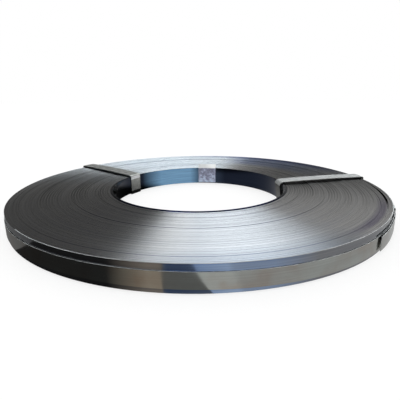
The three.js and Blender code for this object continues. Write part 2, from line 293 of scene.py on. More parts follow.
def slit_edge_steel():
    """Slit and deburred spring steel: each edge is brushed along its length, so that light
    gathers in fans across the turns. Groups of turns differ a little in tone."""
    material, tree, output = new_material("slit_edge_spring_steel")
    streaks = ring_coordinates(tree, 3, 1 / BRUSH_STREAK, 0)
    streak = add_node(tree, "TexNoise", {"Vector": streaks, "Scale": 1, "Detail": 3})
    bands = ring_coordinates(tree, 3, 1 / TONE_BAND, 0)
    band = add_node(tree, "TexNoise", {"Vector": bands, "Scale": 1, "Detail": 2})
    both = add_node(tree, "Mix", {"Factor": 0.3, 2: streak.outputs[0], 3: band.outputs[0]})
    steel_tone = add_node(tree, "ValToRGB", {"Fac": both.outputs[0]},
                          stops=[(0.35, linear("#d2d2d1")), (0.65, linear("#dbdad8"))])
    azimuth, radius = azimuth_of(tree), radius_of(tree)
    films = []
    # The edge tints are partly oxide and partly painted reflection.
    for azimuths, radii, film in EDGE_TINTS:
        share = add_node(tree, "Math", {
            0: between(tree, azimuth, azimuths),
            1: between(tree, radius, [edge * MM for edge in radii])}, operation="MULTIPLY")
        films.append((share.outputs[0], linear(film)))
    # Rings of painted shade along the seams, on both sides of the coil.
    films.append((seam_ring_shade(tree, azimuth, radius, band.outputs[0]), linear(RING_SHADE)))
    tone = filmed(tree, steel_tone.outputs[0], films, blend_type="MULTIPLY")
    rough = add_node(tree, "MapRange", {"Value": streak.outputs[0], 3: 0.385, 4: 0.415})
    scratches = ring_coordinates(tree, 40, 1 / BRUSH_STREAK, 0)
    scratch = add_node(tree, "TexNoise", {"Vector": scratches, "Scale": 1, "Detail": 1})
    bump = add_node(tree, "Bump", {"Height": scratch.outputs[0], "Strength": 0.4,
                                   "Distance": BRUSH_DEPTH})

    # The highlight is turned by about a quarter, to spread across the brushing, not along it.
    turned = add_node(tree, "MapRange", {"Value": scratch.outputs[0], 3: 0.243, 4: 0.257})
    tangent = add_node(tree, "Tangent", direction_type="RADIAL", axis="Z")
    steel = add_node(tree, "BsdfPrincipled", {
        "Base Color": tone, "Metallic": 1.0, "Roughness": rough.outputs[0],
        "Anisotropic": 0.98, "Anisotropic Rotation": turned.outputs[0],
        "Normal": bump.outputs[0], "Tangent": tangent.outputs[0]})
    tree.links.new(steel.outputs[0], output.inputs[0])
    return material


# The oxide film on the strip's faces round the rim and round the bore: its common colour, and
# azimuths in degrees where it has another, which is partly the oxide's tint and partly painted
# reflection. What lies outside RIM_FROM belongs to the rim.
RIM_GREY = "#98999c"
RIM_TINTS = [((-97, -96, -76, -66), "#a3b5d2"), ((-97, -96, -93.5, -84.5), "#7a92bd"),
             ((40, 60, 85, 100), "#93a8cc"), ((150, 160, 172, 176), "#93a8cc")]
BORE_BLACK = "#1c212d"
BORE_TINTS = [((68, 82, 84, 92), "#3b4656"), ((87, 97, 122, 140), "#7298b6"),
              ((-150, -130, -52, -30), "#34467e")]
RIM_FROM = RIM_R - 1 * MM

# Its roll lines, and the scuffs on a rubbed edge, drawn as coarse as they need to be to show.
ROLL_LINE = 2 * MM
EDGE_SCUFF = 2.5 * MM


def blued_strip_steel():
    """Cold-rolled strip, blued: a mirror with faint roll lines along the strip. The oxide film
    is thin and grey on the rim, thick and blue-black in the bore, and tinted blue in places, which
    is partly the oxide and partly painted reflection."""
    material, tree, output = new_material("blued_cold_rolled_strip")
    azimuth = azimuth_of(tree)
    # Colours by azimuth, partly the oxide's tint and partly painted reflection.
    rim, bore = [
        filmed(tree, linear(common), [(between(tree, azimuth, azimuths), linear(film))
                                      for azimuths, film in films])
        for common, films in ((RIM_GREY, RIM_TINTS), (BORE_BLACK, BORE_TINTS))]
    outside = add_node(tree, "Math", {0: radius_of(tree), 1: RIM_FROM},
                       operation="GREATER_THAN")
    film = filmed(tree, bore, [(outside.outputs[0], rim)])
    lines = add_node(tree, "TexNoise", {"Vector": ring_coordinates(tree, 14, 0, 1 / ROLL_LINE),
                                        "Scale": 1, "Detail": 3})
    cloud = add_node(tree, "ValToRGB", {"Fac": lines.outputs[0]},
                     stops=[(0.3, linear("#dfe2e6")), (0.7, linear("#ffffff"))])
    tone = filmed(tree, film, [(1.0, cloud.outputs[0])], blend_type="MULTIPLY")
    rough = add_node(tree, "MapRange", {"Value": lines.outputs[0], 3: 0.08, 4: 0.2})
    steel = add_node(tree, "BsdfPrincipled", {
        "Base Color": tone, "Metallic": 1.0, "Roughness": rough.outputs[0]})
    tree.links.new(steel.outputs[0], output.inputs[0])
    return material


def rubbed_edge_steel():
    """An edge rubbed bright by handling: bare steel, scuffed all ways, so that it catches light
    from all round."""
    material, tree, output = new_material("rubbed_steel_edge")
    scuffs = ring_coordinates(tree, 40, 1 / EDGE_SCUFF, 1 / EDGE_SCUFF)
    scuff = add_node(tree, "TexNoise", {"Vector": scuffs, "Scale": 1, "Detail": 3})
    tone = add_node(tree, "ValToRGB", {"Fac": scuff.outputs[0]},
                    stops=[(0.3, linear("#a3a3a1")), (0.7, linear("#cfcecb"))])
    rough = add_node(tree, "MapRange", {"Value": scuff.outputs[0], 3: 0.65, 4: 0.85})
    steel = add_node(tree, "BsdfPrincipled", {
        "Base Color": tone.outputs[0], "Metallic": 1.0, "Roughness": rough.outputs[0]})
    tree.links.new(steel.outputs[0], output.inputs[0])
    return material


# The outermost turn's edge is rubbed bright on the side that the coil was rolled on, which is
# where Y is less than this share of X.
RUBBED_SIDE = 0.9

all_turns = turns_of_the_coil()
winding = bmesh.new()
cuts = [0] + [len(all_turns) - outside for outside, *_ in SLACK_GAPS] + [len(all_turns)]
for first, last in zip(cuts, cuts[1:]):
    ring = bmesh.new()
    spin_ring(ring, all_turns[first:last], BORE_R + first * TURN_PITCH)
    ring_mesh = bpy.data.meshes.new("ring_of_turns")
    ring.to_mesh(ring_mesh)
    ring.free()
    winding.from_mesh(ring_mesh)
    bpy.data.meshes.remove(ring_mesh)
for vertex in winding.verts:
    radius = vertex.co.xy.length
    azimuth = math.degrees(math.atan2(vertex.co.y, vertex.co.x))
    vertex.co.xy *= 1 - slack(radius, azimuth) / radius
bmesh.ops.recalc_face_normals(winding, faces=winding.faces)
for face in winding.faces:
    middle = face.calc_center_median()
    by_bore = middle.xy.length < BORE_R + BLUED_TURNS * TURN_PITCH
    by_rim = middle.xy.length > RIM_R - TURN_PITCH
    rubbed = by_rim and middle.y < RUBBED_SIDE * middle.x
    face.material_index = 1 if by_bore or abs(face.normal.z) < UPRIGHT else 2 if rubbed else 0
rubbed_edge = rubbed_edge_steel()
coil = finished_piece(winding, "wound_strip",
                      [slit_edge_steel(), blued_strip_steel(), rubbed_edge])
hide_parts("strip_coil")


# ---- The girth strap ---------------------------------------------------------------------
# Bright cold-rolled strap, once round the rim and drawn tight. Its ends lap under a clip, and
# its tail has sprung away from the lap beneath.
GIRTH_WIDTH = 19 * MM
GIRTH_THICK = 0.8 * MM
MILL_EDGE = 0.25 * MM

# How high its lower edge lies over the coil's. It wanders up and down by so much, in so many
# waves round the rim, and is lowest at this azimuth.
GIRTH_LOW = 4.4 * MM
GIRTH_WANDER = 1.2 * MM
GIRTH_WAVES = 3
GIRTH_DIP = -48

# Azimuths in degrees: its tail, the middle of its clip, and its other end, one turn further on.
# The tail has sprung out by so much.
GIRTH_TAIL = -45
GIRTH_SEAL = -20
GIRTH_END = 346
GIRTH_SPRING = 1.5 * MM

# In degrees of the rim: how far from its clip or its lap it starts to climb, how near to that
# it is at full height, and how closely it is drawn away from the clip.
GIRTH_RAMP = 12
RAMP_EASE = 2.5
GIRTH_STEP = 1.5

# A face of the strap that looks outwards by less than this belongs to its rubbed edge.
STRAP_EDGE = 0.5

# Its roll lines, drawn as coarse as they need to be to show, and its clouds of stain.
STRAP_LINE = 1.5 * MM
STRAP_CLOUD = 45 * MM

# Pieces that touch keep this gap, so that none cuts into another.
FIT = 0.3 * MM

# The clip's sheet and length. The tool bites twice, so far apart, and each bite is so long and
# so deep on either edge.
SEAL_WALL = 0.8 * MM
GIRTH_SEAL_LENGTH = 30 * MM
HALF_SEAL = math.degrees(GIRTH_SEAL_LENGTH / RIM_R) / 2
CRIMP_SPACING = 11 * MM
CRIMP_LENGTH = 6 * MM
CRIMP_DEPTH = 1.5 * MM
CRIMP_STEP = 1 * MM


def rounded(outline, radius):
    """A closed outline with each of its corners turned into a short curve."""
    curve = []
    for before, corner, after in zip(outline[-1:] + outline, outline, outline[1:] + outline[:1]):
        corner = Vector(corner)
        into = corner + (Vector(before) - corner).normalized() * radius
        out = corner + (Vector(after) - corner).normalized() * radius
        curve += [into, (into + out) / 4 + corner / 2, out]
    return curve


def strap_section(width, thick):
    """A strap's section across its width and through it, with its edges rounded by the mill."""
    half = width / 2
    return rounded([(-half, 0), (half, 0), (half, thick), (-half, thick)], MILL_EDGE)


def drawn_stock(section, stations):
    """A straight piece along X through the stations: one closed skin, with a face at each end
    and none inside."""
    bm = bmesh.new()
    start = end = bm.faces.new([bm.verts.new((stations[0], y, z)) for y, z in section])
    for before, after in zip(stations, stations[1:]):
        grown = bmesh.ops.extrude_face_region(bm, geom=[end])["geom"]
        if end is not start:
            bmesh.ops.delete(bm, geom=[end], context="FACES_ONLY")
        end = next(part for part in grown if isinstance(part, bmesh.types.BMFace))
        corners = [part for part in grown if isinstance(part, bmesh.types.BMVert)]
        bmesh.ops.translate(bm, verts=corners, vec=(after - before, 0, 0))
    return bm


def bent(bm, place):
    """Moves each corner of a straight piece to its place on the coil."""
    for vertex in bm.verts:
        vertex.co = place(*vertex.co)
    bmesh.ops.recalc_face_normals(bm, faces=bm.faces)
    return bm


def steps(first, last, stride):
    """Even stations from first to last, no further apart than stride."""
    count = math.ceil((last - first) / stride)
    return [first + (last - first) * i / count for i in range(count + 1)]


def smooth_step(value, low, high):
    """0 below low, 1 above high, and an S between them."""
    share = min(max((value - low) / (high - low), 0), 1)
    return share * share * (3 - 2 * share)


def outward(azimuth):
    """The unit vector away from the axis at an azimuth in degrees."""
    return Vector((math.cos(math.radians(azimuth)), math.sin(math.radians(azimuth)), 0))


def crimped(across, distance):
    """A place across a strap or clip, drawn in where the crimping tool has bitten."""
    from_deepest = abs(abs(distance) - CRIMP_SPACING / 2)
    bite = 1 - smooth_step(from_deepest, 0, CRIMP_LENGTH / 2)
    return across - math.copysign(CRIMP_DEPTH * bite, across)


def seal_turn(azimuth):
    """The turn from the girth strap's clip to an azimuth, between -180 and 180."""
    return (azimuth - GIRTH_SEAL + 180) % 360 - 180


def girth_radius(azimuth):
    """The radius of the girth strap's inner face."""
    near_seal = 1 - smooth_step(abs(seal_turn(azimuth)), HALF_SEAL + RAMP_EASE,
                                HALF_SEAL + GIRTH_RAMP)
    lap_end = GIRTH_END - 360
    lapped = 1 - smooth_step(azimuth, lap_end + RAMP_EASE, lap_end + GIRTH_RAMP)
    tail = GIRTH_SEAL - HALF_SEAL
    spring = min(max((tail - azimuth) / (tail - GIRTH_TAIL), 0), 1)
    return (RIM_R + FIT + near_seal * (SEAL_WALL + FIT) + lapped * (GIRTH_THICK + FIT)
            + GIRTH_SPRING * spring)


def girth_place(azimuth, across, through, radius=None):
    """Where a point of the straight girth strap, or of its clip, lies on the rim."""
    wander = GIRTH_WANDER * math.cos(GIRTH_WAVES * math.radians(azimuth - GIRTH_DIP))
    across = crimped(across, math.radians(seal_turn(azimuth)) * RIM_R)
    point = outward(azimuth) * ((radius or girth_radius(azimuth)) + through)
    point.z = COIL_BOTTOM + GIRTH_LOW - wander + GIRTH_WIDTH / 2 + across
    return point


def rolled_strap_steel():
    """Cold-rolled strap: fine roll lines along it, greyer and duller than the blued strip."""
    material, tree, output = new_material("bright_rolled_strap")
    lines = add_node(tree, "TexNoise", {"Vector": ring_coordinates(tree, 6, 0, 1 / STRAP_LINE),
                                        "Scale": 1, "Detail": 2})
    tone = add_node(tree, "ValToRGB", {"Fac": lines.outputs[0]},
                    stops=[(0.3, linear("#f4f4f4")), (0.7, linear("#ffffff"))])
    place = add_node(tree, "TexCoord").outputs["Object"]
    cloud = add_node(tree, "TexNoise", {"Vector": place, "Scale": 1 / STRAP_CLOUD, "Detail": 3})
    stain = add_node(tree, "ValToRGB", {"Fac": cloud.outputs[0]},
                     stops=[(0.35, linear("#aca299")), (0.5, linear("#b2b1ac")),
                            (0.65, linear("#b8bcb8"))])
    stained = filmed(tree, stain.outputs[0], [(1.0, tone.outputs[0])], blend_type="MULTIPLY")
    rough = add_node(tree, "MapRange", {"Value": lines.outputs[0], 3: 0.15, 4: 0.18})
    steel = add_node(tree, "BsdfPrincipled", {
        "Base Color": stained, "Metallic": 1.0, "Roughness": rough.outputs[0]})
    tree.links.new(steel.outputs[0], output.inputs[0])
    return material


fine_step = math.degrees(CRIMP_STEP / RIM_R)
in_seal, in_seal_again = [
    steps(GIRTH_SEAL + lap - HALF_SEAL, GIRTH_SEAL + lap + HALF_SEAL, fine_step)
    for lap in (0, 360)]
girth_stations = (
    steps(GIRTH_TAIL, in_seal[0], GIRTH_STEP) + in_seal[1:]
    + steps(in_seal[-1], in_seal_again[0], GIRTH_STEP)[1:] + in_seal_again[1:]
    + steps(in_seal_again[-1], GIRTH_END, GIRTH_STEP)[1:])
hoop = bent(drawn_stock(strap_section(GIRTH_WIDTH, GIRTH_THICK), girth_stations), girth_place)
for face in hoop.faces:
    outwards = face.calc_center_median().normalized()
    face.material_index = 1 if abs(face.normal.dot(outwards)) < STRAP_EDGE else 0
girth = finished_piece(hoop, "girth_band", [rolled_strap_steel(), rubbed_edge])
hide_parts("girth_strap")


# ---- The girth strap's clip --------------------------------------------------------------
# Galvanised sheet pressed to a channel, pushed over both layers of strap, its lips folded
# under them, and crimped twice with them.
SEAL_LIP = 7 * MM
SEAL_BEND = 0.35 * MM

# How far the strap in a clip stands off what lies beneath, with a lip and its gaps between.
SEAL_STANDOFF = FIT + SEAL_WALL + FIT

# The patches in the zinc, and the scuffs on it: how wide they are, and how deep these look.
ZINC_PATCH = 6 * MM
ZINC_SCUFF = 1.2 * MM
SCUFF_DEPTH = 0.2 * MM


def seal_section(width, thick):
    """A clip's section round two layers of strap, its lips under them, edges rounded."""
    inside = width / 2 + FIT
    outside = inside + SEAL_WALL
    lip = outside - SEAL_LIP
    floor, roof = -FIT, 2 * (thick + FIT)
    return rounded([
        (-lip, floor - SEAL_WALL), (-lip, floor), (-inside, floor), (-inside, roof),
        (inside, roof), (inside, floor), (lip, floor), (lip, floor - SEAL_WALL),
        (outside, floor - SEAL_WALL), (outside, roof + SEAL_WALL),
        (-outside, roof + SEAL_WALL), (-outside, floor - SEAL_WALL)], SEAL_BEND)


def zinc_sheet(name, dark, light, roughness):
    """Hot-dipped sheet, rubbed dull: soft grey patches in the zinc, and short scuffs."""
    material, tree, output = new_material(name)
    place = add_node(tree, "TexCoord").outputs["Object"]
    patch = add_node(tree, "TexNoise", {"Vector": place, "Scale": 1 / ZINC_PATCH, "Detail": 4})
    tone = add_node(tree, "ValToRGB", {"Fac": patch.outputs[0]},
                    stops=[(0.35, linear(dark)), (0.65, linear(light))])
    scuff = add_node(tree, "TexNoise", {"Vector": place, "Scale": 1 / ZINC_SCUFF, "Detail": 2})
    rough = add_node(tree, "MapRange", {"Value": scuff.outputs[0], 3: roughness * 0.85,
                                        4: roughness * 1.15})
    bump = add_node(tree, "Bump", {"Height": scuff.outputs[0], "Strength": 0.1,
                                   "Distance": SCUFF_DEPTH})
    zinc = add_node(tree, "BsdfPrincipled", {
        "Base Color": tone.outputs[0], "Metallic": 1.0, "Roughness": rough.outputs[0],
        "Normal": bump.outputs[0]})
    tree.links.new(zinc.outputs[0], output.inputs[0])
    return material


clip_zinc = zinc_sheet("galvanised_pressed_clip", "#8b8d8b", "#a9aba9", 0.34)
channel = bent(drawn_stock(seal_section(GIRTH_WIDTH, GIRTH_THICK), in_seal),
               partial(girth_place, radius=RIM_R + SEAL_STANDOFF))
girth_clip = finished_piece(channel, "girth_clip", [clip_zinc])
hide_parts("girth_seal")


# ---- The ties and their clips ------------------------------------------------------------
# Two lengths of galvanised strap. Each is threaded through the bore and round the winding,
# drawn tight with a tensioner, and closed on the rim with a crimped clip.
TIE_WIDTH = 25 * MM
TIE_THICK = 0.8 * MM
TIE_SEAL_LENGTH = 24 * MM

# A tie rises over the proud turns, with a crown between bore and rim. It is folded sharply
# under the coil, and its ends stop short of the coil's.
TIE_RISE = 2 * MM
TIE_CROWN = 1 * MM
TIE_FOLD = 0.6 * MM
TIE_END = 3 * MM
COIL_MIDDLE = (COIL_BOTTOM + COIL_TOP) / 2

# How closely it is drawn away from its clip, and in how many steps to a square bend.
TIE_STEP = 6 * MM
FOLD_STEPS = 8

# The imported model's bore has this many flats, and what lies in the bore keeps clear of them.
BORE_FLATS = 96
BORE_CLEAR = BORE_R * math.cos(math.pi / BORE_FLATS) - FIT

# Each tie's azimuth at the bore and at the rim, and how far it stands off the bore's edge.
TIES = {"left": (148, 143.4, 0), "right": (6, 9.5, 4 * MM)}

# Each tie's zinc, darkest and lightest, and how rough it is. Then how far down the bore its leg
# is painted bright as a highlight, and from where on it is painted dark as shade.
TIE_ZINC = {"left": ("#b9bab5", "#d9d8d3", 0.42), "right": ("#aaaaa7", "#c1c0bd", 0.7)}
TIE_LEG = {"left": (8 * MM, 27 * MM), "right": (0, 0)}


def fold(centre, radius, first, last):
    """Points round a bend, from one angle in degrees to another."""
    return [centre + radius * outward(angle).xy for angle in steps(first, last, 90 / FOLD_STEPS)]


def run(start, end, stride):
    """Points along a straight stretch, without its ends."""
    count = math.ceil((end - start).length / stride)
    return [start.lerp(end, i / count) for i in range(1, count)]


def crown_run(start, end):
    """The points of a tie's run over the coil, raised to a crown between bore and rim."""
    points = run(start, end, TIE_STEP)
    shares = [(i + 1) / (len(points) + 1) for i in range(len(points))]
    return [point + Vector((0, 4 * TIE_CROWN * share * (1 - share)))
            for point, share in zip(points, shares)]


def tie_route(standoff):
    """The line of a tie's inner face: X from the bore wall to the rim, Y up from the floor."""
    rim = RIM_R - BORE_R + FIT + GIRTH_THICK + SEAL_STANDOFF
    lap = rim + TIE_THICK + FIT
    bore = math.sqrt(BORE_CLEAR ** 2 - (TIE_WIDTH / 2) ** 2) - BORE_R
    top = COIL_TOP + INNER_TURN_PROUD + TIE_RISE
    bend = TIE_RISE + standoff
    low = TIE_THICK + TIE_FOLD
    over_rim = fold(Vector((rim - TIE_RISE, top - TIE_RISE)), TIE_RISE, 0, 90)
    over_bore = fold(Vector((bore - standoff + bend, top - bend)), bend, 90, 180)
    under_bore = fold(Vector((bore + TIE_FOLD, low)), TIE_FOLD, 180, 270)
    under_rim = fold(Vector((lap - TIE_FOLD, low)), TIE_FOLD, 270, 360)
    start, end = Vector((rim, COIL_BOTTOM + TIE_END)), Vector((lap, COIL_TOP - TIE_END))
    return ([start] + run(start, over_rim[0], CRIMP_STEP) + over_rim
            + crown_run(over_rim[-1], over_bore[0]) + over_bore
            + run(over_bore[-1], under_bore[0], TIE_STEP) + under_bore
            + run(under_bore[-1], under_rim[0], TIE_STEP) + under_rim
            + run(under_rim[-1], end, CRIMP_STEP) + [end])


def stations_of(route):
    """How far along its route each point lies."""
    stations = [0]
    for before, after in zip(route, route[1:]):
        stations.append(stations[-1] + (after - before).length)
    return stations


def mitre(route, i):
    """The outward normal at a route's point, longer at a bend so that the strap keeps its
    thickness."""
    into = (route[i] - route[i - 1]).normalized() if i else None
    out = (route[i + 1] - route[i]).normalized() if i + 1 < len(route) else into
    into = into or out
    sides = [Vector((way.y, -way.x)) for way in (into, out)]
    middle = (sides[0] + sides[1]).normalized()
    return middle / middle.dot(sides[0])


def tie_place(route, stations, bore_azimuth, rim_azimuth, along, across, through):
    """Where a point of a straight tie lies on the coil."""
    i = bisect(stations, along + FIT / 10) - 1
    span = RIM_R - BORE_R
    share = min(max(route[i].x / span, 0), 1)
    azimuth = bore_azimuth + (rim_azimuth - bore_azimuth) * share
    point = (outward(bore_azimuth) * BORE_R).lerp(outward(rim_azimuth) * RIM_R, share)
    point += outward(azimuth) * (route[i].x - share * span)
    if route[i].x > span:
        across = crimped(across, route[i].y - COIL_MIDDLE)
    normal = mitre(route, i) * through
    point += outward(azimuth) * normal.x - outward(azimuth + 90) * across
    point.z = route[i].y + normal.y
    return point


def tie_clip_place(azimuth, along, across, through):
    """Where a point of a straight clip lies on the rim, upright and tangent to it."""
    radius = RIM_R + FIT + GIRTH_THICK + SEAL_STANDOFF + through
    point = outward(azimuth) * radius - outward(azimuth + 90) * crimped(across, along)
    point.z = COIL_MIDDLE + along
    return point


# Painted shade: dark zinc on the inner faces and the legs, dimmer zinc part way down the left leg.
shade_painted_zinc = zinc_sheet("galvanised_painted_dark_for_shade", "#2d2d2b", "#454542", 0.5)
dim_painted_zinc = zinc_sheet("galvanised_painted_dim_for_shade", "#9c9c98", "#b6b6b1", 0.5)
# Painted highlight: near-white zinc at the top of the left leg.
highlight_painted_zinc = zinc_sheet("galvanised_painted_bright_for_highlight", "#f0f0ee", "#ffffff", 0.6)
PAINTED_SHADE, PAINTED_DIM, PAINTED_HIGHLIGHT = 1, 2, 3
for side, (bore_azimuth, rim_azimuth, standoff) in TIES.items():
    tie_zinc = zinc_sheet(f"galvanised_strap_{side}", *TIE_ZINC[side])
    highlight_to, shade_from = TIE_LEG[side]
    route = tie_route(standoff)
    stations = stations_of(route)
    strap = drawn_stock(strap_section(TIE_WIDTH, TIE_THICK), stations)
    leg_start = stations[route.index(min(route, key=lambda point: point.x))]

    # While the strap is straight, X runs along it, and its inner face lies at Z zero.
    for face in strap.faces:
        middle = face.calc_center_median()
        down = middle.x - leg_start
        # Painted shade on the inner face and low on the leg, a painted highlight at the leg's top.
        if middle.z < TIE_THICK / 8 or shade_from < down < COIL_TOP:
            face.material_index = PAINTED_SHADE
        elif 0 < down < shade_from:
            face.material_index = PAINTED_DIM if down > highlight_to else PAINTED_HIGHLIGHT
    laid = bent(strap, partial(tie_place, route, stations, bore_azimuth, rim_azimuth))
    tie = finished_piece(laid, f"{side}_tie",
                         [tie_zinc, shade_painted_zinc, dim_painted_zinc, highlight_painted_zinc])
    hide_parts(f"tie_strap_{side}")
    channel = drawn_stock(seal_section(TIE_WIDTH, TIE_THICK),
                          steps(-TIE_SEAL_LENGTH / 2, TIE_SEAL_LENGTH / 2, CRIMP_STEP))
    tie_clip = finished_piece(bent(channel, partial(tie_clip_place, rim_azimuth)),
                              f"{side}_tie_clip", [clip_zinc])
    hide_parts(f"tie_seal_{side}")


# ---- The tag -----------------------------------------------------------------------------
# A blank slip of coated paper, gummed to the bore wall when the coil was checked. Its top edge
# has come away and leans back over the bore's edge.
TAG_WIDTH = 36 * MM
TAG_THICK = 0.2 * MM
TAG_AZIMUTH = 83
TAG_STEP = 0.75 * MM

# How high it starts over the coil's lower end, how far up it the bore's edge is, how much of it
# is above that, and how far that leans back, in degrees. The last are the azimuths where that is
# painted whiter, as light falling on it.
TAG_LOW = 3 * MM
TAG_EDGE = COIL_TOP + INNER_TURN_PROUD + FIT - (COIL_BOTTOM + TAG_LOW)
TAG_FLAP = 8 * MM
TAG_LEAN = 22
TAG_PAINTED_LIGHT = (70, 75, 79, 85)

# How far it stands off the wall, and how far it buckles, in waves across it and up it.
TAG_STAND = 0.15 * MM
TAG_BUCKLE = 0.25 * MM
BUCKLE_ACROSS = 4 * MM
BUCKLE_UP = 5 * MM

# How wide its blotches are, and what is added to their noise at the floor and at the coil's
# top: they are darker towards the top.
TAG_BLOTCH = 5 * MM
TAG_FADE = (0.12, -0.1)


def tag_place(along, up):
    """Where a point of the flat slip lies: on the wall, then leaning out above its edge."""
    past = max(up - TAG_EDGE, 0)
    lean = math.radians(TAG_LEAN)
    buckle = TAG_BUCKLE * math.sin(along / BUCKLE_ACROSS) * math.sin(up / BUCKLE_UP)
    reach = past * math.sin(lean) if past else -(TAG_STAND + abs(buckle))
    azimuth = TAG_AZIMUTH - math.degrees(along / BORE_R)
    point = outward(azimuth) * (BORE_CLEAR + reach - TAG_THICK)
    point.z = COIL_BOTTOM + TAG_LOW + min(up, TAG_EDGE) + past * math.cos(lean)
    return point


def coated_paper():
    """Blank coated paper: matt, off-white where it leans out over the bore's edge, and painted
    whiter where light falls on it there. Where it lies on the steel it is mauve-grey and blotched
    with oil and gum, most of all near the top."""
    material, tree, output = new_material("blank_coated_paper")
    place = add_node(tree, "TexCoord").outputs["Object"]
    blotch = add_node(tree, "TexNoise", {"Vector": place, "Scale": 1 / TAG_BLOTCH, "Detail": 4,
                                         "Roughness": 0.6})
    height = add_node(tree, "SeparateXYZ", {0: place}).outputs["Z"]
    low, high = TAG_FADE
    faded = add_node(tree, "MapRange", {"Value": height, 2: COIL_TOP, 3: low, 4: high})
    paler = add_node(tree, "Math", {0: blotch.outputs[0], 1: faded.outputs[0]}, operation="ADD")
    stain = add_node(tree, "ValToRGB", {"Fac": paler.outputs[0]},
                     stops=[(0.38, linear("#6f7286")), (0.52, linear("#9499b3")),
                            (0.66, linear("#b9c8de"))])
    clean = add_node(tree, "MapRange", {"Value": height, 1: COIL_TOP, 2: COIL_TOP + 2 * MM})
    # The flap is painted whiter between these azimuths, as light falling on it.
    painted_light = between(tree, azimuth_of(tree), TAG_PAINTED_LIGHT)
    flap = filmed(tree, linear("#d6d8d8"), [(painted_light, linear("#f7f9f8"))])
    tone = filmed(tree, stain.outputs[0], [(clean.outputs[0], flap)])
    paper = add_node(tree, "BsdfPrincipled", {"Base Color": tone, "Roughness": 0.6})
    tree.links.new(paper.outputs[0], output.inputs[0])
    return material


tag_height = TAG_EDGE + TAG_FLAP
slip = bmesh.new()
bmesh.ops.create_grid(slip, x_segments=math.ceil(TAG_WIDTH / TAG_STEP),
                      y_segments=math.ceil(tag_height / TAG_STEP), size=0.5)
for vertex in slip.verts:
    vertex.co = tag_place(vertex.co.x * TAG_WIDTH, (vertex.co.y + 0.5) * tag_height)
bmesh.ops.recalc_face_normals(slip, faces=slip.faces)
bmesh.ops.solidify(slip, geom=slip.faces, thickness=TAG_THICK)
tag = finished_piece(slip, "paper_tag", [coated_paper()])
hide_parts("bore_tag")


# ---- The floor, the light and the camera -------------------------------------------------
# A pale floor under a cloth tent, lit through one long strip of its roof. The steel also
# mirrors grey and black cards, which stand in the tent and lie on the floor round the coil.
def staged(name, bm, material):
    """Adds part of the studio, which isn't part of the object."""
    mesh = bpy.data.meshes.new(name)
    bm.to_mesh(mesh)
    bm.free()
    mesh.materials.append(material)
    thing = bpy.data.objects.new(name, mesh)
    bpy.context.scene.collection.objects.link(thing)
    return thing


def only_mirrored(thing):
    """Keeps a card or the tent out of everything but reflections."""
    thing.visible_camera = False
    thing.visible_diffuse = False
    thing.visible_transmission = False
    thing.visible_shadow = False


def sheet(size):
    """A level square sheet, size metres from its middle to a side."""
    bm = bmesh.new()
    bmesh.ops.create_grid(bm, x_segments=1, y_segments=1, size=size)
    return bm


# The floor is looked at as dark paint with a glow, which keeps the shadow soft, and lights the
# coil from below as plain pale paint.
FLOOR_SIZE = 6
FLOOR_PAINT, FLOOR_SEEN, FLOOR_GLOW = "#e6e6e6", "#909090", 0.75


def pale_floor():
    """Matt white floor paint. It takes the coil's shadow, and glows where a ray looks at it."""
    material, tree, output = new_material("pale_floor")
    paint = add_node(tree, "BsdfDiffuse", {"Color": linear(FLOOR_PAINT)})
    shaded = add_node(tree, "BsdfDiffuse", {"Color": linear(FLOOR_SEEN)})
    glow = add_node(tree, "Emission", {"Color": (1, 1, 1, 1), "Strength": FLOOR_GLOW})
    glowing = add_node(tree, "AddShader", {0: shaded.outputs[0], 1: glow.outputs[0]})
    rays = add_node(tree, "LightPath").outputs
    looks = add_node(tree, "Math", {0: rays["Is Camera Ray"], 1: rays["Is Glossy Ray"]},
                     operation="MAXIMUM")
    seen = add_node(tree, "Math", {0: looks.outputs[0], 1: rays["Is Transmission Ray"]},
                    operation="MAXIMUM")
    mix = add_node(tree, "MixShader", {0: seen.outputs[0], 1: paint.outputs[0],
                                       2: glowing.outputs[0]})
    tree.links.new(mix.outputs[0], output.inputs[0])
    return material


# The cards that lie round the coil: the azimuth where each starts, and its tone. In the bore
# lies a black disc, which is white between some azimuths.
PALE, GREY, BLACK = "#b8b8b8", "#707070", "#2a2a2a"
CARDS = [(-180, PALE), (-166, GREY), (-141, BLACK), (-102, GREY), (-86, PALE), (70, BLACK),
         (110, PALE)]
WHITE_IN_BORE = (-100, -90, 116, 132)
CARDS_SIZE = 2.5
CARDS_LIFT = 0.2 * MM

# Two cards that lie over the others, each fanned from a point nearer the camera: its colour,
# how it fades in and out round that point, in degrees, and where the point is.
TOP_CARDS = {"brown_card": ("#aa9f92", (-140, -119, -112, -111), (0, -0.208, 0.4 * MM)),
             "white_card": ("#cdd0d0", (-111, -110, -87, -80), (0.036, -0.24, 0.6 * MM))}


def floor_cards():
    """Grey and black card in wedges round the coil, and the disc in its bore."""
    material, tree, output = new_material("floor_cards")
    azimuth = azimuth_of(tree)
    turn = add_node(tree, "MapRange", {"Value": azimuth, 1: -180, 2: 180})
    wedge = add_node(tree, "ValToRGB", {"Fac": turn.outputs[0]}, stops=[
        ((start + 180) / 360, linear(tone)) for start, tone in CARDS])
    wedge.color_ramp.interpolation = "CONSTANT"
    inside = add_node(tree, "Math", {0: radius_of(tree), 1: BORE_R}, operation="LESS_THAN")
    white = between(tree, azimuth, WHITE_IN_BORE)
    disc = filmed(tree, linear(BLACK), [(white, linear("#ffffff"))])
    card = filmed(tree, wedge.outputs[0], [(inside.outputs[0], disc)])
    glow = add_node(tree, "Emission", {"Color": card, "Strength": 1.0})
    tree.links.new(glow.outputs[0], output.inputs[0])
    return material


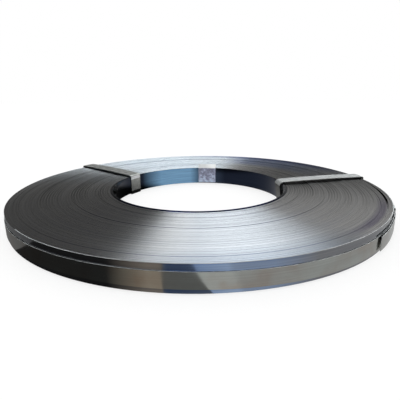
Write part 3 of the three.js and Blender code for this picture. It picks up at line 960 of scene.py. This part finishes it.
def fanned_card(name, colour, azimuths):
    """A card that shows between two azimuths round its own middle, and is clear beyond them."""
    material, tree, output = new_material(name)
    clear = add_node(tree, "BsdfTransparent")
    glow = add_node(tree, "Emission", {"Color": linear(colour), "Strength": 1.0})
    mix = add_node(tree, "MixShader", {0: between(tree, azimuth_of(tree), azimuths),
                                       1: clear.outputs[0], 2: glow.outputs[0]})
    tree.links.new(mix.outputs[0], output.inputs[0])
    return material


# The tent is a dome of so many metres. The bright strip runs along its roof, at this azimuth,
# and where it fades in or out is given as distance across or along it over height.
TENT_R = 8
STRIP_AZIMUTH = 55
STRIP_LEFT = (-0.24, -0.16)
STRIP_RIGHT = (0.7, 0.8)
STRIP_BACK = (0.8, 0.85)
STRIP_FRONT = (2.9, 3.15)
STRIP_GLOW = 3.8
STRIP_TINT = "#eef5fb"

# Its cloth is dim on the left and glows by so much more towards the right, between these
# cosines of the angle from there. The second is past 1, so the fade is never quite done. A
# paler shoulder lies beside the strip.
TENT_GLOW = 0.08
SIDE_FADE = (-0.55, 1.7)
SIDE_GLOW = 0.54
SHOULDER_ACROSS = (-0.62, -0.52, -0.2, -0.1)
SHOULDER_ALONG = (0.1, 0.35, 0.95, 1.1)
SHOULDER_GLOW = 1.2


def slope_towards(tree, way, azimuth):
    """How far a way from the coil leans towards an azimuth, over its height."""
    reach = add_node(tree, "VectorMath", {0: way, 1: outward(azimuth)}, operation="DOT_PRODUCT")
    height = add_node(tree, "SeparateXYZ", {0: way})
    return add_node(tree, "Math", {0: reach.outputs["Value"], 1: height.outputs["Z"]},
                    operation="DIVIDE").outputs[0]


def tent_cloth():
    """The tent: dim cloth, paler to the right, with one bright strip along its roof."""
    material, tree, output = new_material("tent_cloth")
    place = add_node(tree, "TexCoord").outputs["Object"]
    way = add_node(tree, "VectorMath", {0: place}, operation="NORMALIZE").outputs[0]
    across = slope_towards(tree, way, STRIP_AZIMUTH - 90)
    along = slope_towards(tree, way, STRIP_AZIMUTH)
    forward = add_node(tree, "Math", {0: along, 1: -1.0}, operation="MULTIPLY").outputs[0]
    strip = 1.0
    for slope, (start, stop), first, last in (
            (across, STRIP_LEFT, 0, 1), (across, STRIP_RIGHT, 1, 0),
            (along, STRIP_BACK, 1, 0), (forward, STRIP_FRONT, 1, 0)):
        fade = add_node(tree, "MapRange", {"Value": slope, 1: start, 2: stop, 3: first, 4: last},
                        interpolation_type="SMOOTHSTEP")
        strip = add_node(tree, "Math", {0: strip, 1: fade.outputs[0]},
                         operation="MULTIPLY").outputs[0]

    flat = add_node(tree, "VectorMath", {0: way, 1: (1, 1, 0)}, operation="MULTIPLY")
    level = add_node(tree, "VectorMath", {0: flat.outputs[0]}, operation="NORMALIZE")
    rightward = add_node(tree, "SeparateXYZ", {0: level.outputs[0]})
    dim, pale = SIDE_FADE
    cloth = add_node(tree, "MapRange", {"Value": rightward.outputs["X"], 1: dim, 2: pale,
                                        3: TENT_GLOW, 4: TENT_GLOW + SIDE_GLOW},
                     interpolation_type="SMOOTHSTEP")
    shoulder = add_node(tree, "Math", {0: between(tree, across, SHOULDER_ACROSS),
                                       1: between(tree, along, SHOULDER_ALONG)},
                        operation="MULTIPLY")
    unlit = add_node(tree, "Math", {0: shoulder.outputs[0], 1: SHOULDER_GLOW,
                                    2: cloth.outputs[0]}, operation="MULTIPLY_ADD")
    lit = add_node(tree, "Math", {0: strip, 1: STRIP_GLOW, 2: unlit.outputs[0]},
                   operation="MULTIPLY_ADD")
    tint = filmed(tree, linear("#ffffff"), [(strip, linear(STRIP_TINT))])
    glow = add_node(tree, "Emission", {"Color": tint, "Strength": lit.outputs[0]})
    tree.links.new(glow.outputs[0], output.inputs[0])
    return material


staged("floor", sheet(FLOOR_SIZE), pale_floor())
cards = staged("cards", sheet(CARDS_SIZE), floor_cards())
cards.location.z = CARDS_LIFT
only_mirrored(cards)
for name, (colour, azimuths, middle) in TOP_CARDS.items():
    card = staged(name, sheet(CARDS_SIZE), fanned_card(name, colour, azimuths))
    card.location = middle
    only_mirrored(card)
dome = bmesh.new()
bmesh.ops.create_uvsphere(dome, u_segments=48, v_segments=24, radius=TENT_R)
bmesh.ops.bisect_plane(dome, geom=dome.verts[:] + dome.edges[:] + dome.faces[:],
                       plane_co=(0, 0, 0), plane_no=(0, 0, 1), clear_inner=True)
only_mirrored(staged("tent", dome, tent_cloth()))

studio = bpy.data.worlds.new("studio")
studio.use_nodes = True
studio.node_tree.nodes.clear()
sky = add_node(studio.node_tree, "Background", {"Color": (1, 1, 1, 1), "Strength": 1.0})
add_node(studio.node_tree, "OutputWorld", {"Surface": sky.outputs[0]})
bpy.context.scene.world = studio

# The camera stands in front of the coil and a little above it. It looks down by one angle, and
# is turned and rolled by two small ones, in radians.
CAMERA_PLACE = (0, -0.6112, 0.1884)
CAMERA_DOWN, CAMERA_TURN, CAMERA_ROLL = 0.2888, -0.0028, -0.0097
SENSOR_WIDTH = 36
FOCAL_LENGTH = 32.82

lens = bpy.data.cameras.new("camera")
lens.sensor_width = SENSOR_WIDTH
lens.lens = FOCAL_LENGTH
camera = bpy.data.objects.new("camera", lens)
camera.matrix_world = (Matrix.Translation(CAMERA_PLACE) @ Matrix.Rotation(CAMERA_TURN, 4, "Z")
                       @ Matrix.Rotation(math.pi / 2 - CAMERA_DOWN, 4, "X")
                       @ Matrix.Rotation(CAMERA_ROLL, 4, "Z"))
bpy.context.scene.collection.objects.link(camera)
bpy.context.scene.camera = camera
bpy.context.scene.view_settings.view_transform = "Standard"
